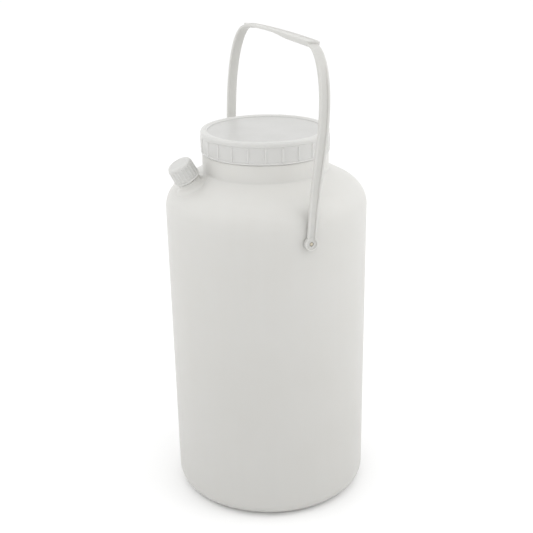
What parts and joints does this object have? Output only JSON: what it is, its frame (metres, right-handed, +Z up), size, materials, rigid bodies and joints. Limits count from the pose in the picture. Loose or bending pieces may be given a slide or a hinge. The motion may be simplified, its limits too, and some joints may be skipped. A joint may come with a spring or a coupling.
{
  "type": "calf feeding bottle",
  "caption": "Tall round plastic feeding bottle with a wide screwed lid, a small screwed spout cap on the shoulder and a swinging strap bail handle on two pivot pins.",
  "frame": {"origin": "centre of the flat standing ring under the base, on the floor", "axes": "+Z up the bottle, X along the handle's pivot pins, the spout on the shoulder points to -Y"},
  "size_m": [0.172, 0.156, 0.3684],
  "materials": {
    "bottle_plastic": "satin milky polyethylene",
    "lid_plastic": "smooth semi-gloss",
    "cap_plastic": "smooth semi-gloss",
    "handle_plastic": "satin",
    "soft_seal": "matt closed-cell foam",
    "soft_liner": "matt closed-cell foam",
    "pin_brass": "plain turned brass"
  },
  "bodies": {
    "bottle": {"bottle_body": "bottle_plastic", "bottle_spout": "bottle_plastic", "handle_pivot_pin_left": "pin_brass", "handle_pivot_pin_right": "pin_brass"},
    "handle": {"bail_handle": "handle_plastic"},
    "lid_seal": {"lid_gasket": "soft_seal"},
    "lid": {"wide_lid": "lid_plastic"},
    "spout_seal": {"spout_cap_liner": "soft_liner"},
    "spout_cap": {"spout_cap": "cap_plastic"}
  },
  "joints": [
    {"name": "handle_swing", "type": "hinge", "parent": "bottle", "child": "handle", "pos_m": [0, 0, 0.22785], "axis": [1, 0, 0], "range_deg": [-130, 140]},
    {"name": "lid_rise", "type": "slide", "parent": "bottle", "child": "lid_seal", "axis": [0, 0, 1], "range_m": [0, 0.024]},
    {"name": "lid_turn", "type": "hinge", "parent": "lid_seal", "child": "lid", "pos_m": [0, 0, 0.2882], "axis": [0, 0, 1], "range_deg": [0, 1441]},
    {"name": "spout_cap_rise", "type": "slide", "parent": "bottle", "child": "spout_seal", "axis": [0, -0.4772, 0.8788], "range_m": [0, 0.018]},
    {"name": "spout_cap_turn", "type": "hinge", "parent": "spout_seal", "child": "spout_cap", "pos_m": [0, -0.06585, 0.26865], "axis": [0, -0.4772, 0.8788], "range_deg": [0, 2161]}
  ],
  "couplings": [
    {"joint": "lid_turn", "follows": "lid_rise", "rad_per_m": 1047.2},
    {"joint": "spout_cap_turn", "follows": "spout_cap_rise", "rad_per_m": 2094.4}
  ]
}
